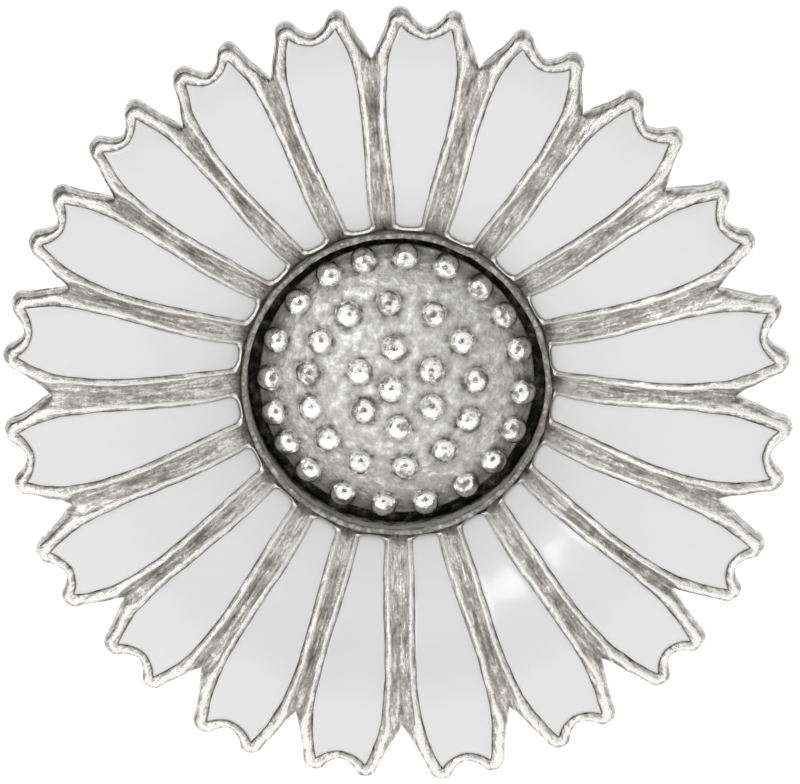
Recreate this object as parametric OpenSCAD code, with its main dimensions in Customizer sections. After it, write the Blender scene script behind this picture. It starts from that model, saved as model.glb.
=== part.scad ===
// Hat pin: an enamelled silver daisy head on a straight steel stem, with a slide-off point guard.
// The flower is laid out face up (x across, y up, z towards the viewer) and then stood up, so that
// the face looks along -Y, the stem runs along +Y and the origin is where the stem leaves the back.

/* [Flower] */
// Radius from the flower's centre to the belly line of the petals
belly_r = 18; // [17.5:0.1:18.5]
// Half width of a petal's enamel at the belly line
belly_half_w = 1.86; // [1.7:0.01:1.9]
// Radius at which the enamel starts
petal_root_r = 8.65; // [8.65:0.05:9]
// Half width of the enamel near its root
root_half_w = 0.72; // [0.6:0.01:0.8]
// Width of the raised crest of the silver rim round each petal
rim_w = 0.44; // [0.35:0.01:0.5]
// How far the rim's lower outer step reaches past the enamel at the belly line
step_w = 0.8; // [0.7:0.01:0.85]
// Radius of the rounded end of each of a petal's two lobes
lobe_r = 0.62; // [0.5:0.01:0.65]
// Radius out to which a web joins neighbouring petals
web_r = 18.4; // [18:0.1:18.6]
// Depth of the forked tip, from the lobes to the notch
fork_depth = 0.65; // [0.4:0.05:0.8]
// How far a lobe's rounded end reaches past the enamel
lobe_rise = 0.78; // [0.7:0.01:0.9]
// Width of the rim at the bottom of the fork
fork_rim = 0.45; // [0.4:0.01:0.5]
// Distance of each lobe from the petal's middle line
lobe_x = 1.32; // [1.2:0.01:1.4]

/* [Arch of the petals] */
// Radius of the arch that the petals follow, seen from the side
arch_r = 13.2; // [13:0.1:14]
// Height of the enamel's highest line above the back of the ferrule
arch_top_z = 10.55; // [10.4:0.05:10.6]
// How far the rims stand above the enamel
rim_proud = 0.15; // [0.1:0.01:0.2]
// How far the webs between the petals lie below the enamel
web_drop = 0.3; // [0.2:0.01:0.35]
// Depth of the enamel in its cell
enamel_depth = 0.45; // [0.4:0.01:0.5]
// Thickness of the struck plate from the enamel's level to its back
plate_t = 1.45; // [1.2:0.05:1.5]

/* [Centre] */
// Inner radius of the sunk cup round the dome
cup_r = 8.2; // [8.1:0.05:8.25]
// Wall thickness of the cup
cup_wall = 0.3; // [0.25:0.01:0.3]
// Height of the cup's lip above the back of the ferrule
lip_z = 6.9; // [6.8:0.05:7]
// Thickness of the cup's floor
cup_floor_t = 0.5; // [0.4:0.05:0.5]
// Radius of the dome's edge
dome_edge_r = 7.55; // [7.4:0.05:7.6]
// Radius of the sphere that the dome is part of
dome_sphere_r = 11.5; // [11:0.1:12]
// Height of the dome's edge above the back of the ferrule
dome_edge_z = 4.95; // [4.8:0.05:5]
// Height of the dome's edge above the cup's floor
seat_h = 1.05; // [0.9:0.05:1.2]
// Outer radius of the ring that the dome sits on
seat_r = 7; // [6.8:0.1:7.2]
// Width of the ring that the dome sits on
seat_w = 1.2; // [1:0.1:1.4]
// Thickness of the dome's shell
dome_t = 0.7; // [0.6:0.05:0.8]
// Radius of a granule in the outer ring
outer_bead_r = 0.78; // [0.7:0.04:0.78]
// Radius of a granule in the middle and inner rings
inner_bead_r = 0.75; // [0.61:0.01:0.75]

/* [Back] */
// Radius of the peg that ties the dome, the cup and the ferrule together
peg_r = 1; // [0.8:0.1:1.2]
// Radius of the stiffening disc behind the cup
disc_r = 5; // [4.5:0.1:6]
// Thickness of the stiffening disc
disc_t = 0.8; // [0.6:0.05:1]
// Radius of the ferrule's boss
boss_r = 1.6; // [1.5:0.05:1.8]
// Radius of the ferrule's flange
flange_r = 3.6; // [3:0.1:4]
// Thickness of the ferrule's flange
flange_t = 0.6; // [0.5:0.05:0.7]
// How deep the stem's tang sits in the ferrule
tang_len = 1.3; // [1.2:0.05:1.35]
// Height in the ferrule at which the peg starts
peg_foot_z = 1.4; // [1.4:0.05:1.6]

/* [Stem] */
// Radius of the stem's shank
stem_r = 0.6; // [0.5:0.05:0.65]
// Length of the parallel shank behind the ferrule
shank_len = 63.3; // [40:0.1:70]
// Length of the ground point
point_len = 8.7; // [8.5:0.1:9]
// Radius left at the very tip of the point
tip_r = 0.05; // [0.03:0.01:0.1]

/* [Point guard] */
// Outer radius of the guard
guard_r = 2.1; // [2:0.05:2.4]
// Inner radius of the guard's shell
guard_bore_r = 1.5; // [1.5:0.05:1.6]
// Length of the guard's front collar
collar_len = 1.4; // [1.4:0.1:2]
// Length of the rubber liner that grips the stem
liner_len = 4.4; // [4:0.1:5]
// Room between the stem's point and the bottom of the guard's bore
point_gap = 0.15; // [0.1:0.05:0.3]

/* [Hidden] */
$fn = 96;
PETALS = 20;
fit_gap = 0.012;       // glue or solder film between two fixed pieces
beyond_r = 24;         // a radius outside every petal
prism_z0 = 1;          // outlines are extruded from here
prism_h = 12;          // and through the whole head
collar_gap = 0.1;      // room for the stem in the guard's collar
liner_tight = 0.02;    // how much narrower than the shank the liner's bore is
overlap = 0.05;        // how far the rims sink into the webs below them
arch_over = 1;         // how far the enamel cells are cut above the arch

// Where each hand-set petal points, clockwise from the top, and how far its lobes reach
petal_angle = [5, 24, 43, 62, 81, 99, 117, 133.5, 151, 169,
               188, 205.5, 223.5, 241, 260, 279.5, 297, 314, 330.5, 347.5];
petal_reach = [20.4, 20.35, 20.4, 20.6, 20.8, 21.0, 21.2, 21.2, 21.1, 21.05,
               20.75, 20.95, 20.5, 20.7, 20.5, 20.55, 20.7, 20.6, 20.45, 20.4];
petal_centre = [-0.1, 0.15];   // the petal pattern sits a hair off the pin's axis

// Where the granules sit: ring radius and the angle of each one, clockwise from the top
outer_ring_r = 6.9;
outer_angle = [4, 23, 41, 58, 75, 95, 113, 130, 147, 167,
               186, 205, 224, 240, 255, 271, 289, 309, 328, 345];
middle_ring_r = 4.6;
middle_ring_angle = [358, 30, 57, 86, 114, 141, 171, 202, 229, 254, 278, 302, 329];
inner_ring_r = 2.2;
inner_angle = [357, 63, 118, 176, 234, 294];
middle_shift = [-0.25, 0];     // the middle ring is set a little to the left

arch_z = arch_top_z - arch_r;                 // height of the arch's own centre
cup_back_z = dome_edge_z - seat_h - cup_floor_t;
cup_floor_z = cup_back_z + cup_floor_t;
ferrule_len = cup_back_z - disc_t;
hole_r = cup_r + cup_wall + fit_gap;           // the plate's hole, round the cup
dome_z = dome_edge_z - sqrt(dome_sphere_r * dome_sphere_r - dome_edge_r * dome_edge_r);
tang_r = stem_r * 0.75;
tip_z = -shank_len - point_len;
collar_z = -shank_len - 0.1;                  // the guard's open end
shell_z = collar_z - collar_len;
guard_end_z = tip_z - 1;                      // the guard's rounded end

// ---- outlines ----

// Point t of a cubic curve, moved e to its right
function curve(p, t, e) =
    let (s = 1 - t,
         at = s*s*s*p[0] + 3*s*s*t*p[1] + 3*s*t*t*p[2] + t*t*t*p[3],
         way = 3*s*s*(p[1] - p[0]) + 6*s*t*(p[2] - p[1]) + 3*t*t*(p[3] - p[2]))
    at + e * [way[1], -way[0]] / norm(way);

function curve_run(p, e, steps, first, last) = [for (i = [first : last]) curve(p, i / steps, e)];

// The right half of a petal from its root to its notch, e outside the enamel's edge
function petal_half(w, reach, e) =
    let (root = [[0, petal_root_r], [0.55, petal_root_r], [root_half_w * w, petal_root_r + 0.15],
                 [root_half_w * w, petal_root_r + 0.6]],
         flank = [root[3], [root_half_w * w + 0.28, 12.4], [belly_half_w * w, 14.8],
                  [belly_half_w * w, belly_r]],
         shoulder = [flank[3], [belly_half_w * w, belly_r + 0.9], [lobe_x * w + 0.28, reach - 0.75],
                     [lobe_x * w, reach]],
         fork = [shoulder[3], [lobe_x * w - 0.3, reach - 0.42], [0.3, reach - fork_depth],
                 [0, reach - fork_depth]],
         out = shoulder[3] - shoulder[2],
         back = fork[1] - fork[0],
         turn_0 = atan2(-out[0], out[1]),
         turn_1 = atan2(-back[0], back[1]))
    concat(curve_run(root, e, 2, 0, 1),
           curve_run(flank, e, 4, 0, 3),
           curve_run(shoulder, e, 3, 0, 2),
           e == 0 ? [fork[0]]
                  : [for (i = [0 : 3]) let (a = turn_0 + (turn_1 - turn_0) * i / 3)
                     fork[0] + e * [cos(a), sin(a)]],
           curve_run(fork, e, 3, 1, 3));

// The right half of the lower step's outline, from under the belly to the notch
function step_half(w, reach) =
    let (side = belly_half_w * w + step_w,
         lobe = [lobe_x * w + 0.12, reach + lobe_rise - lobe_r],
         shoulder = [[side, web_r - 0.5], [side, web_r + 0.6], lobe + [lobe_r + 0.1, -0.9],
                     lobe + [lobe_r, 0]],
         fork = [lobe + lobe_r * [cos(150), sin(150)], lobe + [-lobe_r - 0.1, 0],
                 [0.26, reach - fork_depth + fork_rim],
                 [0, reach - fork_depth + fork_rim]])
    concat([[0, web_r - 2.5], [side - 0.5, web_r - 2.2]],
           curve_run(shoulder, 0, 3, 0, 2),
           [for (a = [0 : 50 : 150]) lobe + lobe_r * [cos(a), sin(a)]],
           curve_run(fork, 0, 3, 1, 3));

function mirrored(half) = concat(half, [for (i = [len(half) - 2 : -1 : 1]) [-half[i][0], half[i][1]]]);

// Petals with more room round them are a little wider
function pitch(i) =
    ((petal_angle[(i + 1) % PETALS] - petal_angle[(i + PETALS - 1) % PETALS] + 720) % 360) / 2;
function middle_angle(i) =
    i == PETALS - 1 ? (petal_angle[i] + petal_angle[0] + 360) / 2
                    : (petal_angle[i] + petal_angle[i + 1]) / 2;
function petal_w(i) = 1 + 0.6 * (pitch(i) / 18 - 1);

module at_petal(i) {
    translate(petal_centre) rotate(-petal_angle[i]) children();
}

module petal_outline(i, e) {
    at_petal(i) polygon(mirrored(petal_half(petal_w(i), petal_reach[i], e)));
}

// The wedge between the lines midway to petal i's neighbours
module sector_outline(i) {
    left = middle_angle(i == 0 ? PETALS - 1 : i - 1);
    right = middle_angle(i);
    far = beyond_r * 1.3;
    translate(petal_centre) polygon([[0, 0], far * [sin(left), cos(left)], far * [sin(right), cos(right)]]);
}

module step_outline(i) {
    at_petal(i) polygon(mirrored(step_half(petal_w(i), petal_reach[i])));
}

// ---- helpers ----

// Everything from r0 to r1 between two depths below the enamel's arched surface
module arched_band(top, bottom, r0, r1) {
    rotate_extrude() intersection() {
        translate([belly_r, arch_z]) difference() {
            circle(arch_r - top);
            circle(arch_r - bottom);
        }
        translate([r0, arch_z + 2]) square([r1 - r0, arch_r + 5]);
    }
}

module ring(r_out, r_in, z0, z1) {
    rotate_extrude() translate([r_in, z0]) square([r_out - r_in, z1 - z0]);
}

// Stands the flower up: face to -Y, top to +Z
module stand_up() {
    rotate([90, 0, 0]) children();
}

// Extrudes an outline through the whole head
module prism() {
    translate([0, 0, prism_z0]) linear_extrude(prism_h) children();
}

module granule_ring(r, angles, bead_r, shift) {
    for (a = angles) {
        x = r * sin(a) + shift[0];
        y = r * cos(a) + shift[1];
        z = sqrt(dome_sphere_r * dome_sphere_r - x*x - y*y);
        difference() {
            translate([x, y, dome_z + z]) sphere(bead_r);
            translate([0, 0, dome_z]) sphere(dome_sphere_r + fit_gap);
        }
    }
}

// ---- sub-parts ----

// One petal's share of the plate, out to the lines midway to its neighbours
module plate_sector(i) {
    difference() {
        union() {
            intersection() {
                arched_band(web_drop, plate_t, hole_r, beyond_r);
                prism() intersection() {
                    union() {
                        circle(web_r);
                        step_outline(i);
                    }
                    sector_outline(i);
                }
            }
            intersection() {
                arched_band(-rim_proud, web_drop + overlap, hole_r + overlap, beyond_r);
                prism() petal_outline(i, rim_w);
            }
        }
        intersection() {
            arched_band(-arch_over, enamel_depth, cup_r, beyond_r);
            prism() petal_outline(i, fit_gap);
        }
    }
}

module petal_plate() color("silver") stand_up() {
    union() {
        for (i = [0 : PETALS - 1]) plate_sector(i);
    }
}

module enamel_petal(i) color("whitesmoke") stand_up() {
    intersection() {
        arched_band(0, enamel_depth - fit_gap, cup_r, beyond_r);
        prism() petal_outline(i, 0);
    }
}

module centre_cup() color("dimgray") stand_up() {
    difference() {
        translate([0, 0, cup_back_z]) cylinder(r = cup_r + cup_wall, h = lip_z - cup_back_z);
        translate([0, 0, cup_floor_z]) cylinder(r = cup_r, h = lip_z);
        translate([0, 0, -1]) cylinder(r = peg_r + fit_gap, h = lip_z);
    }
}

module centre_dome() color("lightgray") stand_up() {
    difference() {
        translate([0, 0, dome_z]) difference() {
            sphere(dome_sphere_r);
            sphere(dome_sphere_r - dome_t);
        }
        translate([0, 0, dome_edge_z - beyond_r]) cube(2 * beyond_r, center = true);
    }
}

module dome_seat_ring() color("silver") stand_up() {
    ring(seat_r, seat_r - seat_w, cup_floor_z + fit_gap, dome_edge_z - fit_gap);
}

module granules_outer() color("white") stand_up() {
    granule_ring(outer_ring_r, outer_angle, outer_bead_r, [0, 0]);
}

module granules_middle() color("white") stand_up() {
    granule_ring(middle_ring_r, middle_ring_angle, inner_bead_r, middle_shift);
}

module granules_inner() color("white") stand_up() {
    granule_ring(inner_ring_r, inner_angle, inner_bead_r, [0, 0]);
    granule_ring(0, [0], inner_bead_r, middle_shift);
}

module centre_peg() color("silver") stand_up() {
    intersection() {
        translate([0, 0, peg_foot_z]) cylinder(r = peg_r, h = prism_h);
        translate([0, 0, dome_z]) sphere(dome_sphere_r - dome_t - fit_gap);
    }
}

module back_disc() color("silver") stand_up() {
    ring(disc_r, peg_r + fit_gap, ferrule_len + fit_gap, cup_back_z - fit_gap);
}

module stem_ferrule() color("silver") stand_up() {
    difference() {
        union() {
            cylinder(r = boss_r, h = ferrule_len);
            translate([0, 0, ferrule_len - flange_t]) cylinder(r = flange_r, h = flange_t);
        }
        translate([0, 0, -1]) cylinder(r = tang_r + fit_gap, h = prism_h);
        translate([0, 0, peg_foot_z - fit_gap]) cylinder(r = peg_r + fit_gap, h = prism_h);
    }
}

module stem() color("gainsboro") stand_up() {
    union() {
        translate([0, 0, -shank_len]) cylinder(r = stem_r, h = shank_len);
        cylinder(r = tang_r, h = tang_len, $fn = 4);   // square, soldered in a round bore
        translate([0, 0, tip_z]) cylinder(r1 = tip_r, r2 = stem_r, h = point_len);
    }
}

module guard_shell() color("silver") stand_up() {
    difference() {
        bullet(guard_r, guard_end_z);
        bullet(guard_bore_r, tip_z - point_gap);
    }
}

// A rod from the collar down to a hemispherical end
module bullet(r, end_z) {
    translate([0, 0, end_z + r]) cylinder(r = r, h = shell_z - end_z - r);
    translate([0, 0, end_z + r]) sphere(r);
}

module guard_collar() color("silver") stand_up() {
    ring(guard_r, stem_r + collar_gap, shell_z + fit_gap, collar_z);
}

module guard_liner() color("lightgray") stand_up() {
    ring(guard_bore_r - fit_gap, stem_r - liner_tight, shell_z - liner_len, shell_z);
}

petal_plate();
for (i = [0 : PETALS - 1])
    enamel_petal(i);
centre_cup();
centre_dome();
dome_seat_ring();
granules_outer();
granules_middle();
granules_inner();
centre_peg();
back_disc();
stem_ferrule();
stem();
guard_shell();
guard_collar();
guard_liner();
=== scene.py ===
import math

import bmesh
import bpy
import numpy as np
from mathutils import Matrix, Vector, noise


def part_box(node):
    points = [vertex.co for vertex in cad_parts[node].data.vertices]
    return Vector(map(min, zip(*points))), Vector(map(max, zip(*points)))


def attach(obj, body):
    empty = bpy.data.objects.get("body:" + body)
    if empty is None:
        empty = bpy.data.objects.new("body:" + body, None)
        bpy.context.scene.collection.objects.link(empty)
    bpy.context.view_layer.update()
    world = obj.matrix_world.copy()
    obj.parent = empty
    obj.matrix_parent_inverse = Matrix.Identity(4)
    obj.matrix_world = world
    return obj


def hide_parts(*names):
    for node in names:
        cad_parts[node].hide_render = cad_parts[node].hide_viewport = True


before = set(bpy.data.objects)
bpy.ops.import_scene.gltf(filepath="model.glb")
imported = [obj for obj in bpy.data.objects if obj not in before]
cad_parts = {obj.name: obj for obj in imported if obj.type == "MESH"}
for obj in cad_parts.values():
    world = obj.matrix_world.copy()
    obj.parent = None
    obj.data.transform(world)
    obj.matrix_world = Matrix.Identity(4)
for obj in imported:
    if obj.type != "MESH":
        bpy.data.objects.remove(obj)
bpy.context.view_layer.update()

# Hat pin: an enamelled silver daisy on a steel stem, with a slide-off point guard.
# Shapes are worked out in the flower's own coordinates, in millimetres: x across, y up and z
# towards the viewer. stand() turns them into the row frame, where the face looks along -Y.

MM = 0.001

# ---- the petals, as in the CAD model ----

PETALS = 20
petal_angle = [5, 24, 43, 62, 81, 99, 117, 133.5, 151, 169,
               188, 205.5, 223.5, 241, 260, 279.5, 297, 314, 330.5, 347.5]
petal_reach = [20.4, 20.35, 20.4, 20.6, 20.8, 21.0, 21.2, 21.2, 21.1, 21.05,
               20.75, 20.95, 20.5, 20.7, 20.5, 20.55, 20.7, 20.6, 20.45, 20.4]
petal_centre = np.array([-0.1, 0.15])
belly_r = 18.0
belly_half_w = 1.86
petal_root_r = 8.65
root_half_w = 0.72
root_depth = 0.5          # length of the rounded root
fork_depth = 0.65
fork_rim = 0.45
lobe_x = 1.32
lobe_r = 0.62
lobe_rise = 0.78          # how far a lobe's tip reaches past its enamel's
valley_r = 18.5           # where neighbouring petals part
step_w = 0.78
arch_r = 13.2
plate_t = 1.43
cell_depth = 0.46
hole_r = 8.512

# Heights above the back of the ferrule, read from the CAD nodes
arch_top_z = -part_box("enamel_petal_01")[0].y / MM
arch_z = arch_top_z - arch_r

# Stations round a petal: along its root or fork, and along each flank
END_STEPS = 30
LOBE_STEPS = 9
FLANK_STEPS = 30
SHOULDER_STEPS = 18


def stand(points):
    """Flower coordinates in mm to the row frame in metres."""
    p = np.asarray(points, float)
    return np.stack([p[..., 0], -p[..., 2], p[..., 1]], -1) * MM


def arch_height(xy, lift):
    """Height of the arched surface at plan points, lift above the enamel's level."""
    r = np.hypot(xy[..., 0], xy[..., 1])
    return arch_z + np.sqrt((arch_r + lift) ** 2 - (r - belly_r) ** 2)


def curve(p, t):
    """Points of a cubic curve."""
    p = np.asarray(p, float)
    t = np.asarray(t, float)[:, None]
    s = 1 - t
    return s**3 * p[0] + 3 * s * s * t * p[1] + 3 * s * t * t * p[2] + t**3 * p[3]


def pitch(i):
    """Half the angle between a petal's two neighbours, in degrees."""
    return ((petal_angle[(i + 1) % PETALS] - petal_angle[i - 1]) % 360) / 2


def wobble(points, size, scale, seed):
    """A smooth random vector at each point, at most about size."""
    flat = np.asarray(points, float).reshape(-1, points.shape[-1])
    out = np.zeros_like(flat)
    for n, q in enumerate(flat):
        v = Vector((q[0], q[1], q[2] if len(q) > 2 else 0.0)) / scale + Vector((seed, 0, 0))
        out[n] = noise.noise_vector(v)[:flat.shape[1]]
    return (out * size).reshape(points.shape)


# ---- mesh helpers ----

def link(mesh_name, verts, faces, smooth=True):
    """A new object in the scene, from points in metres."""
    mesh = bpy.data.meshes.new(mesh_name)
    mesh.from_pydata([tuple(v) for v in verts], [], [tuple(int(k) for k in f) for f in faces])
    mesh.validate()
    mesh.polygons.foreach_set("use_smooth", [smooth] * len(mesh.polygons))
    obj = bpy.data.objects.new(mesh_name, mesh)
    bpy.context.scene.collection.objects.link(obj)
    return obj


def tidy(obj, merge=0.0):
    """Joins points closer than merge, in metres, and turns every face outwards."""
    bm = bmesh.new()
    bm.from_mesh(obj.data)
    if merge:
        bmesh.ops.remove_doubles(bm, verts=bm.verts, dist=merge)
    bmesh.ops.recalc_face_normals(bm, faces=bm.faces)
    bm.to_mesh(obj.data)
    bm.free()
    obj.data.update()
    return obj


def grid_faces(rows, cols, start=0, wrap=False):
    """Quads of a rows by cols block of points, closed round its columns if wrap."""
    faces = []
    last = cols if wrap else cols - 1
    for r in range(rows - 1):
        for c in range(last):
            a = start + r * cols + c
            b = start + r * cols + (c + 1) % cols
            faces.append((a, b, b + cols, a + cols))
    return faces


def lathe(name, profile, steps=96, closed=True):
    """A solid of revolution about the stem's axis.

    profile is (r, z) in mm, from axis to axis or a closed loop.
    """
    verts, faces = [], []
    n = len(profile)
    for r, z in profile:
        for k in range(steps):
            a = 2 * math.pi * k / steps
            verts.append((r * math.cos(a), r * math.sin(a), z))
    for row in range(n - 1):
        if profile[row][0] or profile[row + 1][0]:
            faces += grid_faces(2, steps, row * steps, wrap=True)
    if closed:
        for k in range(steps):
            a, b = (n - 1) * steps + k, (n - 1) * steps + (k + 1) % steps
            faces.append((a, b, (k + 1) % steps, k))
    obj = link(name, stand(verts), faces)
    return tidy(obj, merge=1e-7)


def arc(cx, cz, r, a0, a1, steps=6):
    """Points of a circle's arc in a lathe profile, angles in degrees from +r."""
    return [(cx + r * math.cos(math.radians(a0 + (a1 - a0) * k / steps)),
             cz + r * math.sin(math.radians(a0 + (a1 - a0) * k / steps))) for k in range(steps + 1)]


# ---- petal outlines ----

def cell_sides(i):
    """The enamel's edge of petal i in its own plan (u across, v outwards): root, right flank, fork."""
    w = 1 + 0.6 * (pitch(i) / 18 - 1)
    reach = petal_reach[i]
    belly = belly_half_w * w
    lobe = lobe_x * w
    root_w = root_half_w * w
    flank = curve([[root_w, petal_root_r + root_depth], [root_w + 0.28, 12.4], [belly, 14.8],
                   [belly, belly_r]], np.linspace(0, 1, FLANK_STEPS + 1))
    shoulder = curve([[belly, belly_r], [belly, belly_r + 0.9], [lobe + 0.28, reach - 0.75],
                      [lobe, reach]], np.linspace(0, 1, SHOULDER_STEPS + 1))
    right = np.concatenate([flank, shoulder[1:]])
    # the fork runs from the left lobe to the right one; the first steps stay close to the lobe
    half = END_STEPS // 2
    near = np.linspace(0, 0.12, LOBE_STEPS + 1)
    far = np.linspace(0.12, 1, half - LOBE_STEPS + 1)[1:]
    fork_half = curve([[-lobe, reach], [-lobe + 0.3, reach - 0.42], [-0.3, reach - fork_depth],
                       [0, reach - fork_depth]], np.concatenate([near, far]))
    fork = np.concatenate([fork_half, fork_half[-2::-1] * [-1, 1]])
    across = fork[:, 0] / lobe
    root = np.stack([across * root_w,
                     petal_root_r + root_depth * (1 - np.clip(1 - abs(across)**3, 0, 1) ** (1 / 3))], 1)
    return root, right, fork, across


def to_plan(i, uv):
    """Petal i's own plan to the flower's plan."""
    a = math.radians(petal_angle[i])
    u, v = uv[..., 0], uv[..., 1]
    turned = np.stack([u * math.cos(a) + v * math.sin(a), v * math.cos(a) - u * math.sin(a)], -1)
    return turned + petal_centre


def web_line(i, j):
    """Direction of the line midway between petals i and j, and where it meets the plate's hole."""
    a, b = petal_angle[i], petal_angle[j]
    middle = math.radians(a + ((b - a + 180) % 360 - 180) / 2)
    way = np.array([math.sin(middle), math.cos(middle)])
    along = petal_centre @ way
    start = -along + math.sqrt(along**2 - petal_centre @ petal_centre + hole_r**2)
    return way, start


def outer_sides(i):
    """The plate's own edge round petal i in the flower's plan: root, right flank, top, left flank."""
    w = 1 + 0.6 * (pitch(i) / 18 - 1)
    reach = petal_reach[i]
    side = belly_half_w * w + step_w
    lobe = np.array([lobe_x * w + 0.12, reach + lobe_rise - lobe_r])
    flanks = []
    for sign, j in ((1, (i + 1) % PETALS), (-1, (i - 1) % PETALS)):
        way, start = web_line(i, j)
        run = np.linspace(0, 1, FLANK_STEPS + 1)[:, None]
        line = petal_centre + way * (start + (valley_r - start) * run)
        a = math.radians(petal_angle[i])
        rel = line[-1] - petal_centre
        valley = np.array([rel[0] * math.cos(a) - rel[1] * math.sin(a),
                           rel[0] * math.sin(a) + rel[1] * math.cos(a)]) * [sign, 1]
        edge = curve([valley, valley + [-0.12, 0.7], lobe + [lobe_r + 0.10, -0.9], lobe + [lobe_r, 0]],
                     np.linspace(0, 1, SHOULDER_STEPS + 1))
        edge = to_plan(i, edge * [sign, 1])
        flanks.append(np.concatenate([line, edge[1:]]))
    half = END_STEPS // 2
    turn = np.radians(np.linspace(0, 150, LOBE_STEPS + 1))
    tip = lobe + lobe_r * np.stack([np.cos(turn), np.sin(turn)], 1)
    notch = [0, reach - fork_depth + fork_rim]
    dip = curve([tip[-1], tip[-1] + [-0.18, -0.31], [0.26, notch[1]], notch],
                np.linspace(0, 1, half - LOBE_STEPS + 1))
    top_right = np.concatenate([tip, dip[1:]])
    top = np.concatenate([top_right * [-1, 1], top_right[-2::-1]])
    ends = [math.atan2(*(f[0])) for f in (flanks[1], flanks[0])]
    spread = (ends[1] - ends[0] + math.pi) % (2 * math.pi) - math.pi
    root_a = ends[0] + spread * np.linspace(0, 1, END_STEPS + 1)
    root = hole_r * np.stack([np.sin(root_a), np.cos(root_a)], 1)
    return root, flanks[0], to_plan(i, top), flanks[1]


def loop_of(root, right, top, left):
    """One closed run of stations: root left to right, right flank up, top back, left flank down."""
    return np.concatenate([root[:-1], right[:-1], top[::-1][:-1], left[::-1][:-1]])


def patch(root, right, top, left, across):
    """Grid of points, rows outwards and columns across, that fills a four-sided outline."""
    rows = len(right)
    along = (np.arange(rows) / (rows - 1))[:, None, None]
    j = ((across + 1) / 2)[None, :, None]
    grid = (1 - j) * left[:, None] + j * right[:, None] + (1 - along) * root[None] + along * top[None]
    grid -= (1 - along) * ((1 - j) * root[0] + j * root[-1]) + along * ((1 - j) * top[0] + j * top[-1])
    return grid


def rim_loop(rows, cols):
    """Indices, into a rows by cols grid, of its edge in loop_of's order."""
    g = np.arange(rows * cols).reshape(rows, cols)
    return np.concatenate([g[0, :-1], g[:-1, -1], g[-1, ::-1][:-1], g[::-1, 0][:-1]])


# Rim's cross-section: distance from the enamel as a share of the crest's, height, and painted tone: a
# painted shade line beside the enamel, a painted highlight on the crest and grey banks between
RIM_LINE = [(0.0, -0.07, 0.0), (0.12, -0.01, 0.08), (0.35, 0.05, 0.42), (0.62, 0.10, 0.52),
            (0.85, 0.14, 0.80), (1.0, 0.15, 1.0), (1.15, 0.135, 0.82), (1.4, 0.06, 0.50),
            (1.7, -0.03, 0.42)]
# then the slope down to the web's middle or the free edge, as a share of what is left
SLOPE_LINE = [(0.3, -0.11, 0.40), (0.65, -0.20, 0.36), (1.0, -0.29, 0.22)]
WEB_CREST = 0.27          # crest's distance from the enamel beside a web
FREE_CREST = 0.42         # and along a free edge
EDGE_DROP = 0.22          # how much lower the free edge lies than the middle of a web
CLEAN_BACK = 2.0          # the crest value of the back, which is bright all over
CELL_CREST = 0.2          # of a cell's floor
WALL_CREST = 0.45         # and of the wall round a free tip
WAIST_DROP = 0.75         # how far the widest line of that wall lies below the enamel's level
INNER_LIGHTER = 0.3               # how much lighter the webs are coloured beside the cup
INNER_LIGHTER_R = 12.5            # the radius where that starts
INNER_LIGHTER_RUN = 4.0           # and how far inwards it takes to be full


def shifted(xy):
    """The hand-made unevenness of the rims in plan."""
    return xy + wobble(xy, 0.045, 0.9, 3.1) + wobble(xy, 0.02, 0.35, 8.2)


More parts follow.
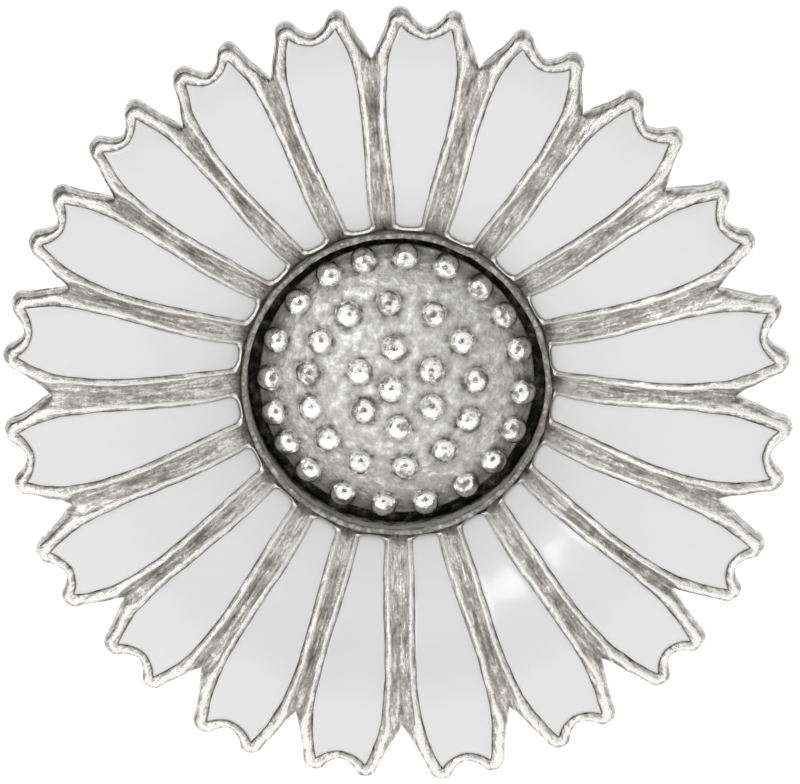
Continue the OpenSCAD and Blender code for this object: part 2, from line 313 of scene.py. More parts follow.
def build_plate():
    """The struck plate: cells, rims, webs, free edges and back, as one closed mesh."""
    verts, faces, tone = [], [], []
    for i in range(PETALS):
        root, right, fork, across = cell_sides(i)
        cell = [to_plan(i, s) for s in (root, right, fork, right * [-1, 1])]
        cell = [shifted(s) for s in cell]
        outer = [shifted(s) for s in outer_sides(i)]
        inner_loop, outer_loop = loop_of(*cell), loop_of(*outer)
        count = len(inner_loop)
        floor = patch(*cell, across)
        rows, cols = floor.shape[:2]
        start = len(verts)
        flat = floor.reshape(-1, 2)
        verts += np.column_stack([flat, arch_height(flat, -cell_depth)]).tolist()
        tone += [CELL_CREST] * len(flat)
        faces += [f[::-1] for f in grid_faces(rows, cols, start)]
        edge_ids = start + rim_loop(rows, cols)
        # 1 where the outer edge is free, 0 along the webs
        steps = [END_STEPS, rows - 1, END_STEPS, rows - 1]
        climb = np.arange(rows) - FLANK_STEPS

        def along_loop(flank):
            return np.concatenate([np.zeros(steps[0]), flank[:-1], np.ones(steps[2]), flank[::-1][:-1]])

        free = along_loop(np.clip((climb + 2) / 5, 0, 1))
        loose = along_loop(np.clip(climb / 5, 0, 1))
        gap = outer_loop - inner_loop
        width = np.linalg.norm(gap, axis=1)
        way = gap / width[:, None]
        crest = WEB_CREST + (FREE_CREST - WEB_CREST) * free
        crest = np.minimum(crest, width / (RIM_LINE[-1][0] + 0.15))
        uneven = wobble(inner_loop, 1.0, 1.3, 5.5)[:, 0]
        lines = []
        # the shade values are painted tone: painted shade at the enamel's edge, a painted highlight on the
        # crest
        for share, h, shade in RIM_LINE:
            lines.append((crest * share, h * (0.9 + 0.25 * uneven) if h > 0 else h, shade))
        rim_end = crest * RIM_LINE[-1][0]
        for share, h, shade in SLOPE_LINE:
            lines.append((rim_end + share * (width - rim_end - 0.05 * loose),
                          h - EDGE_DROP * free * share**2, shade + (0.4 - shade) * free))
        previous = edge_ids
        for d, lift, shade in lines:
            ids = len(verts) + np.arange(count)
            xy = inner_loop + way * d[:, None]
            verts += np.column_stack([xy, arch_height(xy, lift)]).tolist()
            inward = np.clip((INNER_LIGHTER_R - np.linalg.norm(xy, axis=1)) / INNER_LIGHTER_RUN, 0, 1)
            tone += (shade + INNER_LIGHTER * inward).tolist()
            faces += [(previous[k], previous[(k + 1) % count], ids[(k + 1) % count], ids[k])
                      for k in range(count)]
            previous = ids
        back = patch(*outer, across)
        start = len(verts)
        flat = back.reshape(-1, 2)
        verts += np.column_stack([flat, arch_height(flat, -plate_t)]).tolist()
        tone += [CLEAN_BACK] * len(flat)
        faces += grid_faces(rows, cols, start)
        back_ids = start + rim_loop(rows, cols)
        # walls at the hole and round the free tip, a little rounded at the tip
        for k in range(steps[0]):
            faces.append((previous[k], previous[k + 1], back_ids[k + 1], back_ids[k]))
        first, last = steps[0] + FLANK_STEPS, steps[0] + steps[1] + steps[2] + SHOULDER_STEPS
        waist = len(verts) + np.arange(last - first + 1)
        rim = outer_loop[first:last + 1]
        verts += np.column_stack([rim, arch_height(rim, -WAIST_DROP)]).tolist()
        tone += [WALL_CREST] * len(rim)
        for k in range(first, last):
            faces.append((previous[k], previous[k + 1], waist[k - first + 1], waist[k - first]))
            faces.append((waist[k - first], waist[k - first + 1], back_ids[k + 1], back_ids[k]))
    obj = link("plate", stand(verts), faces)
    layer = obj.data.attributes.new("crest", "FLOAT", "POINT")
    layer.data.foreach_set("value", tone)
    return tidy(obj, merge=2e-6)


def build_enamel(i):
    """Petal i's enamel: a glassy pillow that fills its cell."""
    root, right, fork, across = cell_sides(i)
    cell = [shifted(to_plan(i, s)) for s in (root, right, fork, right * [-1, 1])]
    grid = patch(*cell, across)
    rows, cols = grid.shape[:2]
    j = (across + 1) / 2
    half_w = np.linalg.norm(cell[1] - cell[3], axis=1)[:, None] / 2
    side_gap = 2 * np.minimum(j, 1 - j)[None] * half_w
    row = np.arange(rows)[:, None]
    end_gap = np.minimum(row, rows - 1 - row) * 0.2
    gap = np.minimum(side_gap, end_gap)
    lift = -0.045 * np.exp(-gap / 0.1) - 0.01 + wobble(grid, 0.012, 2.5, 20.0 + i)[..., 0]
    top = np.concatenate([grid, arch_height(grid, lift)[..., None]], -1).reshape(-1, 3)
    under = np.concatenate([grid, arch_height(grid, -cell_depth + 0.02)[..., None]], -1).reshape(-1, 3)
    faces = grid_faces(rows, cols) + [f[::-1] for f in grid_faces(rows, cols, rows * cols)]
    edge = rim_loop(rows, cols)
    n = rows * cols
    faces += [(edge[k], edge[k - 1], n + edge[k - 1], n + edge[k]) for k in range(len(edge))]
    return tidy(link(f"enamel_{i + 1:02d}", stand(np.concatenate([top, under])), faces))


# ---- the centre ----

dome_edge_r = 7.55
dome_sphere_r = 11.5
dome_t = 0.7
dome_edge_z = -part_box("centre_dome")[1].y / MM
dome_z = dome_edge_z - math.sqrt(dome_sphere_r**2 - dome_edge_r**2)
lip_z = -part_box("centre_cup")[0].y / MM
cup_back_z = -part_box("centre_cup")[1].y / MM
cup_floor_z = cup_back_z + 0.5
cup_r = 8.2
cup_out_r = 8.5

outer_ring = (6.9, [4, 23, 41, 58, 75, 95, 113, 130, 147, 167,
                    186, 205, 224, 240, 255, 271, 289, 309, 328, 345], 0.78, (0.0, 0.0))
middle_ring = (4.6, [358, 30, 57, 86, 114, 141, 171, 202, 229, 254, 278, 302, 329], 0.75, (-0.25, 0.0))
inner_ring = (2.2, [357, 63, 118, 176, 234, 294], 0.75, (0.0, 0.0))
middle_bead = (0.0, [0], 0.75, (-0.25, 0.0))
ball_squash = 0.86        # each ball is a little flattened, so that its bright part is wide

peg_hole_r = 1.02         # the peg's hole through the cup, the disc and the ferrule
flange_t = 0.6
ferrule_bore_r = 0.47
ferrule_bore_h = 1.4      # the stem's bore below, the peg's hole above
stem_r = 0.6
tang_r = 0.45
tang_top_z = 1.28
shank_end_z = -63.3       # where the ground point starts
guard_r = 2.1
guard_bore_r = 1.5
guard_bore_end_z = -72.15


def granule_spots(*rings):
    """Plan place, outward direction and radius of each granule."""
    for ring_r, angles, bead_r, shift in rings:
        for angle in angles:
            a = math.radians(angle)
            x, y = ring_r * math.sin(a) + shift[0], ring_r * math.cos(a) + shift[1]
            yield x, y, Vector((x, y, math.sqrt(dome_sphere_r**2 - x * x - y * y))).normalized(), bead_r


def mark_foot_shadow(obj):
    """Marks a painted shadow on the dome round the foot of each granule."""
    places = np.array([v.co for v in obj.data.vertices]) / MM
    near = np.full(len(places), 9.0)
    for _, _, out, bead_r in granule_spots(outer_ring, middle_ring, inner_ring, middle_bead):
        foot = out * dome_sphere_r
        centre = np.array([foot.x, -foot.z - dome_z, foot.y])
        near = np.minimum(near, np.linalg.norm(places - centre, axis=1) - bead_r)
    foot_shadow = obj.data.attributes.new("foot_shadow", "FLOAT", "POINT")
    foot_shadow.data.foreach_set("value", np.clip(1 - near / 0.4, 0, 1))
    return obj


def build_dome():
    """The struck dome: a sandy cap with a rounded edge, hollow underneath."""
    rows, under_rows, steps = 84, 12, 300
    edge_a = math.asin(dome_edge_r / dome_sphere_r)
    under_r = dome_sphere_r - dome_t
    under_a = math.acos((dome_edge_z - dome_z) / under_r)
    turn = np.arange(steps) / steps * 2 * math.pi
    verts = []
    for k in range(1, rows + 1):
        a = (edge_a - 0.012) * k / rows
        ring = np.stack([np.sin(turn) * math.sin(a), np.cos(turn) * math.sin(a),
                         np.full(steps, math.cos(a))], 1)
        coarse = wobble(ring * dome_sphere_r, 1.0, 0.55, 2.0)[:, 0]
        fine = wobble(ring * dome_sphere_r, 1.0, 0.2, 6.0)[:, 0]
        radius = dome_sphere_r - 0.01 + 0.035 * coarse + 0.03 * fine
        verts += (ring * radius[:, None] + [0, 0, dome_z]).tolist()
    for r, z in ((dome_edge_r - 0.01, dome_edge_z + 0.05), (dome_edge_r - 0.06, dome_edge_z)):
        verts += [(r * math.sin(t), r * math.cos(t), z) for t in turn]
    for k in range(under_rows):
        a = under_a * (1 - k / under_rows)
        verts += [(under_r * math.sin(a) * math.sin(t), under_r * math.sin(a) * math.cos(t),
                   dome_z + under_r * math.cos(a)) for t in turn]
    faces = grid_faces(rows + 2 + under_rows, steps, wrap=True)
    top, bottom = len(verts), len(verts) + 1
    verts += [(0, 0, dome_z + dome_sphere_r), (0, 0, dome_z + under_r)]
    last = (rows + 1 + under_rows) * steps
    for k in range(steps):
        faces.append((top, (k + 1) % steps, k))
        faces.append((bottom, last + k, last + (k + 1) % steps))
    return mark_foot_shadow(tidy(link("dome", stand(verts), faces)))


def build_granules(name, *rings):
    """Polished granules, each with a small fillet of solder where it meets the dome."""
    verts, faces = [], []
    steps, rows = 40, 20
    for x, y, out, bead_r in granule_spots(*rings):
        side = out.orthogonal().normalized()
        other = out.cross(side)
        jitter = noise.noise_vector(Vector((x, y, 7.0)) * 1.7)
        r = bead_r * (0.985 + 0.03 * jitter.x)
        # the foot is a concave fillet, then the ball, from its waist to its top
        foot = math.sqrt(r * r - (0.42 * r) ** 2)
        profile = [(foot + 0.08, -0.12), (foot + 0.07, -0.05), (foot + 0.04, -0.01), (foot + 0.012, 0.04)]
        centre_h = 0.12 * r
        low = math.degrees(math.asin(-0.25))
        for k in range(rows):
            b = math.radians(low + (90 - low) * k / rows)
            profile.append((r * math.cos(b), centre_h + ball_squash * r * math.sin(b)))
        start = len(verts)
        base = Vector((0, 0, dome_z)) + out * dome_sphere_r
        for pr, ph in profile:
            for k in range(steps):
                t = 2 * math.pi * k / steps
                oval = 1 + 0.02 * jitter.y * math.cos(2 * t)
                verts.append(base + out * ph + (side * math.cos(t) + other * math.sin(t)) * (pr * oval))
        faces += grid_faces(len(profile), steps, start, wrap=True)
        top = len(verts)
        verts.append(base + out * (centre_h + ball_squash * r))
        foot_ids = list(range(start, start + steps))
        last = start + (len(profile) - 1) * steps
        faces += [(last + k, last + (k + 1) % steps, top) for k in range(steps)]
        faces.append(foot_ids[::-1])
    return tidy(link(name, stand([tuple(v) for v in verts]), faces))


# ---- the cup, the back and the guard ----

def build_cup():
    """The sunk cup, with a hand-filed lip that is not quite even."""
    profile = [(peg_hole_r, cup_back_z), (8.2, cup_back_z)]
    profile += arc(8.3, cup_back_z + 0.2, 0.2, -90, 0)
    profile += [(cup_out_r, lip_z - 0.6), (cup_out_r, lip_z - 0.3)]
    profile += arc(8.35, lip_z - 0.15, 0.15, 0, 180, 10)
    profile += [(cup_r, lip_z - 0.4), (cup_r, lip_z - 0.9), (cup_r, lip_z - 1.6),
                (cup_r, cup_floor_z + 0.4)]
    profile += arc(cup_r - 0.2, cup_floor_z + 0.2, 0.2, 0, -90)
    profile += [(5.0, cup_floor_z), (peg_hole_r, cup_floor_z)]
    obj = lathe("cup", profile, steps=220)
    for v in obj.data.vertices:
        height = -v.co.y / MM
        near_lip = min(1.0, max(0.0, (height - lip_z + 0.8) / 0.8))
        bend = noise.noise_vector(v.co / MM / 1.1)
        fine = noise.noise_vector(v.co / MM / 0.3 + Vector((4, 0, 0)))
        push = near_lip * (0.07 * bend.x + 0.035 * fine.x)
        radial = Vector((v.co.x, 0, v.co.z)).normalized()
        v.co -= radial * (0.04 * near_lip + max(push, -0.02)) * MM
        v.co.y += near_lip * (0.05 + 0.05 * bend.y) * MM
    # the back and the outside stay light; only the inside and the lip get painted shade, darkest deep in the
    # cup
    lightness = obj.data.attributes.new("lightness", "FLOAT", "POINT")
    for n, v in enumerate(obj.data.vertices):
        height, radius = -v.co.y / MM, math.hypot(v.co.x, v.co.z) / MM
        outside = radius > cup_r + 0.2 and height < lip_z - 0.4
        lightness.data[n].value = 1.0 if outside or height < cup_floor_z - 0.1 else 0.0
    return obj


def span(node):
    """Lowest and highest z of a CAD node, in mm."""
    return -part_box(node)[1].y / MM, -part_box(node)[0].y / MM


def build_back():
    """The seat ring, peg, disc and ferrule, with the edges that turning and filing leave."""
    lo, hi = span("dome_seat_ring")
    seat = lathe("seat_ring", [(5.8, lo), (6.95, lo), (7.0, lo + 0.05), (7.0, hi), (5.8, hi)])
    lo, hi = span("centre_peg")
    peg = lathe("peg", [(0, lo), (0.9, lo), (1.0, lo + 0.1), (1.0, hi - 0.06), (0, hi - 0.01)],
                closed=False)
    lo, hi = span("back_disc")
    profile = [(peg_hole_r, lo)] + arc(4.8, lo + 0.2, 0.2, -90, 0)
    profile += arc(4.9, hi - 0.1, 0.1, 0, 90) + [(peg_hole_r, hi)]
    disc = lathe("disc", profile)
    lo, hi = span("stem_ferrule")
    flange_z = hi - flange_t
    profile = [(ferrule_bore_r, lo + 0.02), (0.62, lo)] + arc(1.4, lo + 0.2, 0.2, -90, 0)
    profile += arc(1.75, flange_z - 0.15, 0.15, 180, 90) + arc(3.45, flange_z + 0.15, 0.15, -90, 0)
    profile += arc(3.52, hi - 0.08, 0.08, 0, 90)
    profile += [(peg_hole_r, hi), (peg_hole_r, lo + ferrule_bore_h), (ferrule_bore_r, lo + ferrule_bore_h)]
    return seat, peg, disc, lathe("ferrule", profile)


def build_stem():
    """A drawn wire with a long ground point. Its tang, out of sight, is round here."""
    tip_z = span("stem")[0]
    profile = [(0, tang_top_z), (0.4, tang_top_z), (tang_r, 1.2), (tang_r, 0.0), (0.57, 0.0), (stem_r, -0.03)]
    profile += [(stem_r, -3.0 * k) for k in range(1, 21)] + [(stem_r, shank_end_z)]
    profile += [(stem_r - 0.545 * t, shank_end_z + (tip_z - shank_end_z) * t) for t in (0.15, 0.4, 0.7, 0.9)]
    profile += [(0.055, tip_z + 0.06), (0.035, tip_z + 0.02), (0, tip_z)]
    return lathe("stem_wire", profile, steps=48, closed=False)


def build_guard():
    """The guard's bullet shell, its grooved collar and the silicone liner inside."""
    open_z = span("guard_collar")[1]
    end_z, shell_z = span("guard_shell")
    r, bore = guard_r, guard_bore_r
    shell = [(bore, shell_z)] + arc(r - 0.08, shell_z - 0.08, 0.08, 90, 0)
    for k in range(3):
        z = shell_z - 0.7 - 0.55 * k
        shell += [(r, z + 0.14), (r - 0.09, z), (r, z - 0.14)]
    shell += [(r, shell_z - 2.6)] + arc(0, end_z + r, r, 0, -90, 18)
    shell += arc(0, guard_bore_end_z + bore, bore, -90, 0, 12)
    body = lathe("bullet", shell, steps=96)
    collar = [(0.72, open_z - 0.08), (0.80, open_z)]
    collar += arc(r - 0.22, open_z - 0.22, 0.22, 90, 0)
    collar += [(r, shell_z + 0.5), (r - 0.1, shell_z + 0.4), (r, shell_z + 0.3), (r, shell_z + 0.1)]
    collar += arc(r - 0.05, shell_z + 0.07, 0.05, 0, -90) + [(0.70, shell_z + 0.02)]
    ring = lathe("collar", collar, steps=96)
    lo, hi = span("guard_liner")
    liner = [(0.6, lo), (0.58, lo + 0.04), (0.58, hi - 0.04), (0.6, hi)]
    liner += [(1.46, hi), (1.486, hi - 0.03), (1.486, lo + 0.03), (1.46, lo)]
    tube = lathe("liner", liner, steps=64)
    return body, ring, tube


# ---- materials ----

DULL_SPREAD = 0.12     # how much rougher the dullest patches of a plain metal are
STREAK_R = 14.0        # radius, in mm, at which the streaks have the width that is asked for


def new_material(name):
    """A material, its nodes and links, and its Principled shader."""
    mat = bpy.data.materials.new(name)
    mat.use_nodes = True
    nodes, links = mat.node_tree.nodes, mat.node_tree.links
    return mat, nodes, links, nodes["Principled BSDF"]


def noise_node(nodes, links, scale, detail=4.0, rough=0.6):
    """Noise with scale cycles a millimetre, laid out in the object's own coordinates."""
    coord = nodes.new("ShaderNodeTexCoord")
    tex = nodes.new("ShaderNodeTexNoise")
    tex.inputs["Scale"].default_value = scale / MM
    tex.inputs["Detail"].default_value = detail
    tex.inputs["Roughness"].default_value = rough
    links.new(coord.outputs["Object"], tex.inputs["Vector"])
    return tex


def ramp_node(nodes, links, source, stops):
    """A colour ramp over source. stops are (position, colour or grey)."""
    ramp = nodes.new("ShaderNodeValToRGB")
    elements = ramp.color_ramp.elements
    while len(elements) < len(stops):
        elements.new(0.5)
    for e, (at, value) in zip(elements, stops):
        e.position = at
        e.color = (*value, 1) if isinstance(value, tuple) else (value, value, value, 1)
    links.new(source, ramp.inputs["Fac"])
    return ramp


def bump_node(nodes, links, source, depth, bsdf, before=None):
    """Bump of depth millimetres from source."""
    bump = nodes.new("ShaderNodeBump")
    bump.inputs["Distance"].default_value = depth * MM
    links.new(source, bump.inputs["Height"])
    if before:
        links.new(before.outputs["Normal"], bump.inputs["Normal"])
    links.new(bump.outputs["Normal"], bsdf.inputs["Normal"])
    return bump


def metal(name, light, dark, rough, grain, depth):
    """Metal with soft tone and polish variation and fine scratches or grain."""
    mat, nodes, links, bsdf = new_material(name)
    bsdf.inputs["Metallic"].default_value = 1.0
    cloud = noise_node(nodes, links, 0.6)
    tone = ramp_node(nodes, links, cloud.outputs["Fac"], [(0.3, dark), (0.65, light)])
    links.new(tone.outputs["Color"], bsdf.inputs["Base Color"])
    polish = ramp_node(nodes, links, noise_node(nodes, links, 1.7).outputs["Fac"],
                       [(0.3, rough), (0.75, rough + DULL_SPREAD)])
    links.new(polish.outputs["Color"], bsdf.inputs["Roughness"])
    bump_node(nodes, links, noise_node(nodes, links, grain, 5.0).outputs["Fac"], depth, bsdf)
    return mat


def weighted(nodes, links, *terms):
    """Sum of (socket, weight) terms, as a value."""
    total = None
    for socket, weight in terms:
        add = nodes.new("ShaderNodeMath")
        add.operation = "MULTIPLY_ADD"
        links.new(socket, add.inputs[0])
        add.inputs[1].default_value = weight
        if total:
            links.new(total, add.inputs[2])
        else:
            add.inputs[2].default_value = 0.0
        total = add.outputs["Value"]
    return total


def streak_node(nodes, links, across, along):
    """Noise in streaks that run outwards: cycles a millimetre across them and along them.

    Its angle runs round from the first petal's middle line, so its seam lies under that petal's enamel.
    """
    coord = nodes.new("ShaderNodeTexCoord")
    a = math.radians(petal_angle[0])
    parts = []
    for way in ((math.cos(a), 0, -math.sin(a)), (-math.sin(a), 0, -math.cos(a)), (0, 0, 0)):
        dot = nodes.new("ShaderNodeVectorMath")
        dot.operation = "DOT_PRODUCT" if any(way) else "LENGTH"
        dot.inputs[1].default_value = way
        links.new(coord.outputs["Object"], dot.inputs[0])
        parts.append(dot.outputs["Value"])
    angle = nodes.new("ShaderNodeMath")
    angle.operation = "ARCTAN2"
    links.new(parts[0], angle.inputs[0])
    links.new(parts[1], angle.inputs[1])
    place = nodes.new("ShaderNodeCombineXYZ")
    links.new(weighted(nodes, links, (angle.outputs["Value"], across * STREAK_R)), place.inputs["X"])
    links.new(weighted(nodes, links, (parts[2], along / MM)), place.inputs["Y"])
    tex = nodes.new("ShaderNodeTexNoise")
    tex.inputs["Scale"].default_value = 1.0
    tex.inputs["Detail"].default_value = 4.0
    tex.inputs["Roughness"].default_value = 0.65
    links.new(place.outputs["Vector"], tex.inputs["Vector"])
    return tex


def plate_silver():
    """Silver with a painted highlight along each rim's crest and painted shade beside the enamel, over
    duller, streaked and pitted banks and webs.
    """
    mat, nodes, links, bsdf = new_material("rim_silver")
    bsdf.inputs["Metallic"].default_value = 1.0
    crest = nodes.new("ShaderNodeAttribute")
    crest.attribute_name = "crest"
    spots = noise_node(nodes, links, 4.5, 6.0, 0.75)
    streaks = streak_node(nodes, links, 4.2, 0.7)
    # painted light and wear: the crest attribute paints shade beside the enamel and a highlight on the crest;
    # spots and streaks are wear
    wear_and_painted_light = weighted(nodes, links, (crest.outputs["Fac"], 0.45), (spots.outputs["Fac"], 0.60),
                    (streaks.outputs["Fac"], 0.85))
    tone = ramp_node(nodes, links, wear_and_painted_light,
                     [(0.58, (0.03, 0.026, 0.022)), (0.70, (0.18, 0.167, 0.15)), (0.84, (0.41, 0.395, 0.37)),
                      (0.94, (0.57, 0.555, 0.53)), (1.0, (0.86, 0.85, 0.835))])
    links.new(tone.outputs["Color"], bsdf.inputs["Base Color"])
    polish = ramp_node(nodes, links, wear_and_painted_light, [(0.6, 0.5), (0.85, 0.34), (1.0, 0.18)])
    links.new(polish.outputs["Color"], bsdf.inputs["Roughness"])
    rough = bump_node(nodes, links, noise_node(nodes, links, 3.4, 6.0, 0.7).outputs["Fac"], 0.05, bsdf)
    bump_node(nodes, links, streaks.outputs["Fac"], 0.07, bsdf, rough)
    return mat


def granule_silver():
    """Bright granules, slightly dimpled, with dull spots that the polishing missed."""
    mat, nodes, links, bsdf = new_material("granule_silver")
    bsdf.inputs["Metallic"].default_value = 1.0
    spots = noise_node(nodes, links, 1.3, 5.0, 0.6)
    tone = ramp_node(nodes, links, spots.outputs["Fac"],
                     [(0.38, (0.30, 0.29, 0.28)), (0.47, (0.86, 0.855, 0.84)), (0.60, (0.97, 0.97, 0.965))])
    links.new(tone.outputs["Color"], bsdf.inputs["Base Color"])
    polish = ramp_node(nodes, links, spots.outputs["Fac"], [(0.38, 0.32), (0.50, 0.09)])
    links.new(polish.outputs["Color"], bsdf.inputs["Roughness"])
    bump_node(nodes, links, noise_node(nodes, links, 1.5, 4.0).outputs["Fac"], 0.08, bsdf)
    return mat


def cup_silver():
    """Silver wiped in patches on the lip and the wall, with painted shade that turns it black deep in the
    cup.
    """
    mat, nodes, links, bsdf = new_material("cup_silver")
    bsdf.inputs["Metallic"].default_value = 0.3
    coord = nodes.new("ShaderNodeTexCoord")
    parts = nodes.new("ShaderNodeSeparateXYZ")
    links.new(coord.outputs["Object"], parts.inputs["Vector"])
    # painted shade: the lower in the cup, the darker the colour
    height = nodes.new("ShaderNodeMapRange")
    height.inputs["From Min"].default_value = -(cup_floor_z + 0.2) * MM
    height.inputs["From Max"].default_value = -lip_z * MM
    links.new(parts.outputs["Y"], height.inputs["Value"])
    spots = noise_node(nodes, links, 1.6, 5.0, 0.7)
    lightness = nodes.new("ShaderNodeAttribute")
    lightness.attribute_name = "lightness"
    wear_and_painted_light = weighted(nodes, links, (height.outputs["Result"], 0.45), (spots.outputs["Fac"], 0.8),
                    (lightness.outputs["Fac"], 1.0))
    tone = ramp_node(nodes, links, wear_and_painted_light,
                     [(0.38, (0.008, 0.008, 0.008)), (0.48, (0.14, 0.135, 0.125)), (0.62, (0.62, 0.61, 0.59)),
                      (0.74, (0.52, 0.51, 0.49)), (0.86, (0.14, 0.13, 0.12)), (0.98, (0.62, 0.61, 0.59))])
    links.new(tone.outputs["Color"], bsdf.inputs["Base Color"])
    polish = ramp_node(nodes, links, wear_and_painted_light, [(0.5, 0.6), (0.9, 0.3)])
    links.new(polish.outputs["Color"], bsdf.inputs["Roughness"])
    bump_node(nodes, links, noise_node(nodes, links, 2.5, 6.0, 0.7).outputs["Fac"], 0.06, bsdf)
    return mat


def dome_silver():
    """Sand-blasted silver: grey, grainy and dull, with raised grains that catch the light, their near-white
    colour a painted glint.
    """
    mat, nodes, links, bsdf = new_material("satin_silver")
    bsdf.inputs["Metallic"].default_value = 1.0
    grain = noise_node(nodes, links, 1.9, 5.0, 0.65)
    foot_shadow = nodes.new("ShaderNodeAttribute")
    foot_shadow.attribute_name = "foot_shadow"
    # painted shadow: the dome's tone is darker round each granule's foot
    lightness = weighted(nodes, links, (grain.outputs["Fac"], 1.0), (foot_shadow.outputs["Fac"], -0.24))
    # painted glint: the highest grains are coloured near-white
    tone = ramp_node(nodes, links, lightness,
                     [(0.12, (0.16, 0.155, 0.145)), (0.30, (0.48, 0.475, 0.46)), (0.52, (0.66, 0.655, 0.64)),
                      (0.66, (0.92, 0.92, 0.91))])
    links.new(tone.outputs["Color"], bsdf.inputs["Base Color"])
    polish = ramp_node(nodes, links, grain.outputs["Fac"], [(0.45, 0.62), (0.68, 0.30)])
    links.new(polish.outputs["Color"], bsdf.inputs["Roughness"])
    fine = bump_node(nodes, links, noise_node(nodes, links, 8.0, 4.0).outputs["Fac"], 0.03, bsdf)
    bump_node(nodes, links, grain.outputs["Fac"], 0.12, bsdf, fine)
    return mat


def enamel():
    """Opaque white enamel: a deep gloss over a very slightly uneven body."""
    mat, nodes, links, bsdf = new_material("enamel_white")
    cloud = noise_node(nodes, links, 0.45, 3.0)
    tone = ramp_node(nodes, links, cloud.outputs["Fac"],
                     [(0.3, (0.72, 0.72, 0.722)), (0.7, (0.735, 0.735, 0.737))])
    links.new(tone.outputs["Color"], bsdf.inputs["Base Color"])
    bsdf.inputs["Roughness"].default_value = 0.22
    bsdf.inputs["Coat Weight"].default_value = 0.35
    bsdf.inputs["Coat Roughness"].default_value = 0.1
    bump_node(nodes, links, noise_node(nodes, links, 0.8, 2.0).outputs["Fac"], 0.015, bsdf)
    return mat


def silicone():
    """Soft, pale and dull."""
    mat, nodes, links, bsdf = new_material("silicone")
    tone = ramp_node(nodes, links, noise_node(nodes, links, 1.5).outputs["Fac"],
                     [(0.3, (0.70, 0.70, 0.68)), (0.7, (0.78, 0.78, 0.75))])
    links.new(tone.outputs["Color"], bsdf.inputs["Base Color"])
    bsdf.inputs["Roughness"].default_value = 0.6
    bump_node(nodes, links, noise_node(nodes, links, 5.0).outputs["Fac"], 0.01, bsdf)
    return mat


# ---- the whole pin ----

def dress(obj, mat, body, slot, *nodes):
    """Gives a piece its finish, its body and the CAD nodes it stands for."""
    obj.data.materials.clear()
    obj.data.materials.append(mat)
    if nodes:
        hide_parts(*nodes)
    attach(obj, body)


bright_silver = granule_silver()
back_silver = metal("plain_silver", (0.80, 0.79, 0.77), (0.66, 0.65, 0.62), 0.2, 3.0, 0.012)
pin_steel = metal("stem_steel", (0.62, 0.62, 0.63), (0.52, 0.52, 0.53), 0.16, 5.0, 0.006)
guard_plating = metal("guard_plating", (0.78, 0.775, 0.76), (0.70, 0.695, 0.68), 0.14, 4.0, 0.008)
white_enamel = enamel()
grip_rubber = silicone()

dress(build_plate(), plate_silver(), "pin", "polished_silver", "petal_plate")
for number in range(PETALS):
    dress(build_enamel(number), white_enamel, "pin", "white_enamel", f"enamel_petal_{number + 1:02d}")
dress(build_dome(), dome_silver(), "pin", "satin_silver", "centre_dome")
dress(build_granules("beads_outer", outer_ring), bright_silver, "pin", "polished_silver", "granules_outer")
dress(build_granules("beads_middle", middle_ring), bright_silver, "pin", "polished_silver", "granules_middle")
dress(build_granules("beads_inner", inner_ring, middle_bead), bright_silver, "pin", "polished_silver",
      "granules_inner")
# the cup's black inside is painted shade
dress(build_cup(), cup_silver(), "pin", "oxidised_silver", "centre_cup")
seat, peg, disc, ferrule = build_back()
dress(seat, back_silver, "pin", "plain_silver", "dome_seat_ring")
dress(peg, back_silver, "pin", "plain_silver", "centre_peg")
dress(disc, back_silver, "pin", "plain_silver", "back_disc")
dress(ferrule, back_silver, "pin", "plain_silver", "stem_ferrule")
dress(build_stem(), pin_steel, "pin", "stem_steel", "stem")
guard_body, guard_ring, guard_tube = build_guard()
dress(guard_body, guard_plating, "guard", "guard_metal", "guard_shell")
dress(guard_ring, guard_plating, "guard", "guard_metal", "guard_collar")
dress(guard_tube, grip_rubber, "guard", "liner_rubber", "guard_liner")


# ---- studio: floor, camera and light ----

VIEW_RISE = 12.0       # camera's height above the flower's axis, in degrees
VIEW_TURN = 1.0        # and its turn to the right
VIEW_DISTANCE = 520.0  # mm
PX_PER_MM = 18.25      # picture scale where the petals meet the cup
PICTURE_W = 800
FLOOR_Z = -75.0
AIM_DEPTH = 6.3        # the camera aims this far in front of the ferrule's back, in mm,
AIM_RIGHT = 0.20       # this far to the right
AIM_DOWN = 0.48        # and this far down


def build_floor():
    """A plain pale floor, seen from above only."""
    half = 1500.0
    corners = [(-half, -half), (half, -half), (half, half), (-half, half)]
    floor = link("floor", [(x * MM, y * MM, FLOOR_Z * MM) for x, y in corners], [(0, 1, 2, 3)], smooth=False)
    mat, nodes, links, bsdf = new_material("floor_paper")
    tone = ramp_node(nodes, links, noise_node(nodes, links, 0.02).outputs["Fac"], [(0.3, 0.90), (0.7, 0.92)])
    links.new(tone.outputs["Color"], bsdf.inputs["Base Color"])
    bsdf.inputs["Roughness"].default_value = 0.9
    bsdf.inputs["Emission Color"].default_value = (1, 1, 1, 1)
    bsdf.inputs["Emission Strength"].default_value = 0.5
    clear = nodes.new("ShaderNodeBsdfTransparent")
    side = nodes.new("ShaderNodeNewGeometry")
    mix = nodes.new("ShaderNodeMixShader")
    links.new(side.outputs["Backfacing"], mix.inputs["Fac"])
    links.new(bsdf.outputs["BSDF"], mix.inputs[1])
    links.new(clear.outputs["BSDF"], mix.inputs[2])
    links.new(mix.outputs["Shader"], nodes["Material Output"].inputs["Surface"])
    floor.data.materials.append(mat)


rise, turn = math.radians(VIEW_RISE), math.radians(VIEW_TURN)
to_camera = Vector((math.sin(turn) * math.cos(rise), -math.cos(turn) * math.cos(rise), math.sin(rise)))


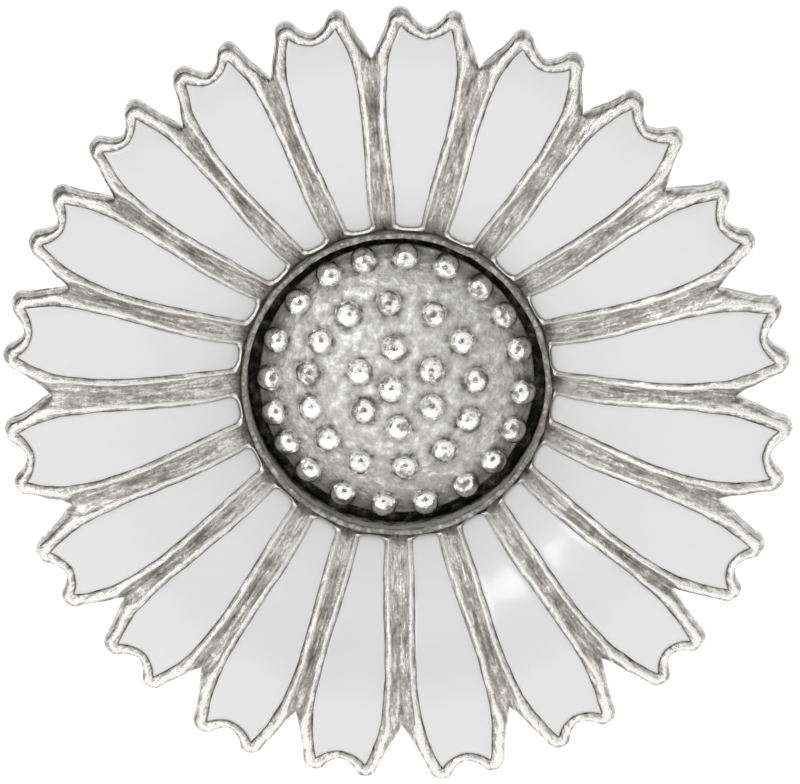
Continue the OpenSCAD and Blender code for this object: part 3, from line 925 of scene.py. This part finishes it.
def build_camera():
    """The camera of the picture: far off, a little above and to the right."""
    data = bpy.data.cameras.new("photo_camera")
    camera = bpy.data.objects.new("photo_camera", data)
    bpy.context.scene.collection.objects.link(camera)
    turned = (-to_camera).to_track_quat("-Z", "Y")
    right, up = turned @ Vector((1, 0, 0)), turned @ Vector((0, 1, 0))
    aim = Vector((0, -AIM_DEPTH, 0)) + right * AIM_RIGHT - up * AIM_DOWN
    camera.location = (aim + to_camera * VIEW_DISTANCE) * MM
    camera.rotation_mode = "QUATERNION"
    camera.rotation_quaternion = turned
    data.sensor_width = 36.0
    data.lens = data.sensor_width * PX_PER_MM * VIEW_DISTANCE / PICTURE_W
    data.clip_start = 0.01
    data.clip_end = 20.0
    bpy.context.scene.camera = camera


def build_world():
    """A white tent. To the metal it is dark round the lens, bright beside it and dim at the sides."""
    world = bpy.data.worlds.new("tent")
    world.use_nodes = True
    bpy.context.scene.world = world
    nodes, links = world.node_tree.nodes, world.node_tree.links
    ground = nodes["Background"]
    coord = nodes.new("ShaderNodeTexCoord")

    def patch_of(direction, stops):
        """Grey by the angle from a direction: stops are (degrees, grey)."""
        dot = nodes.new("ShaderNodeVectorMath")
        dot.operation = "DOT_PRODUCT"
        dot.inputs[1].default_value = Vector(direction).normalized()
        links.new(coord.outputs["Generated"], dot.inputs[0])
        angle = nodes.new("ShaderNodeMath")
        angle.operation = "ARCCOSINE"
        links.new(dot.outputs["Value"], angle.inputs[0])
        turns = nodes.new("ShaderNodeMath")
        turns.operation = "DIVIDE"
        turns.inputs[1].default_value = math.pi
        links.new(angle.outputs["Value"], turns.inputs[0])
        return ramp_node(nodes, links, turns.outputs["Value"], [(a / 180, grey) for a, grey in stops])

    def times(a, b):
        """One grey times another."""
        both = nodes.new("ShaderNodeMix")
        both.data_type = "RGBA"
        both.blend_type = "MULTIPLY"
        both.inputs["Factor"].default_value = 1.0
        links.new(a, both.inputs[6])
        links.new(b, both.inputs[7])
        return both.outputs[2]

    tent = patch_of(to_camera, [(9, 0.12), (17, 0.5), (27, 0.95), (68, 0.95),
                                (92, 0.30), (112, 0.35), (130, 0.9)])
    card = patch_of((-1, -0.1, 0.15), [(14, 0.10), (32, 1.0)])
    high_card = patch_of((-0.6, 0.25, 0.75), [(18, 0.03), (36, 1.0)])
    cards = times(card.outputs["Color"], high_card.outputs["Color"])
    shade = times(tent.outputs["Color"], cards)
    path = nodes.new("ShaderNodeLightPath")
    seen = nodes.new("ShaderNodeMix")
    seen.data_type = "RGBA"
    links.new(path.outputs["Is Camera Ray"], seen.inputs["Factor"])
    links.new(shade, seen.inputs[6])
    seen.inputs[7].default_value = (1.1, 1.1, 1.1, 1)
    links.new(seen.outputs[2], ground.inputs["Color"])


def area_light(name, place, size, watts):
    """A square softbox at place, in mm, aimed at the flower."""
    data = bpy.data.lights.new(name, "AREA")
    data.size = size * MM
    data.energy = watts
    lamp = bpy.data.objects.new(name, data)
    bpy.context.scene.collection.objects.link(lamp)
    lamp.location = Vector(place) * MM
    lamp.rotation_mode = "QUATERNION"
    lamp.rotation_quaternion = (-Vector(place)).to_track_quat("-Z", "Y")


build_floor()
build_camera()
build_world()
area_light("left_box", (-260, -420, 240), 160, 0.45)
bpy.context.scene.view_settings.view_transform = "Standard"
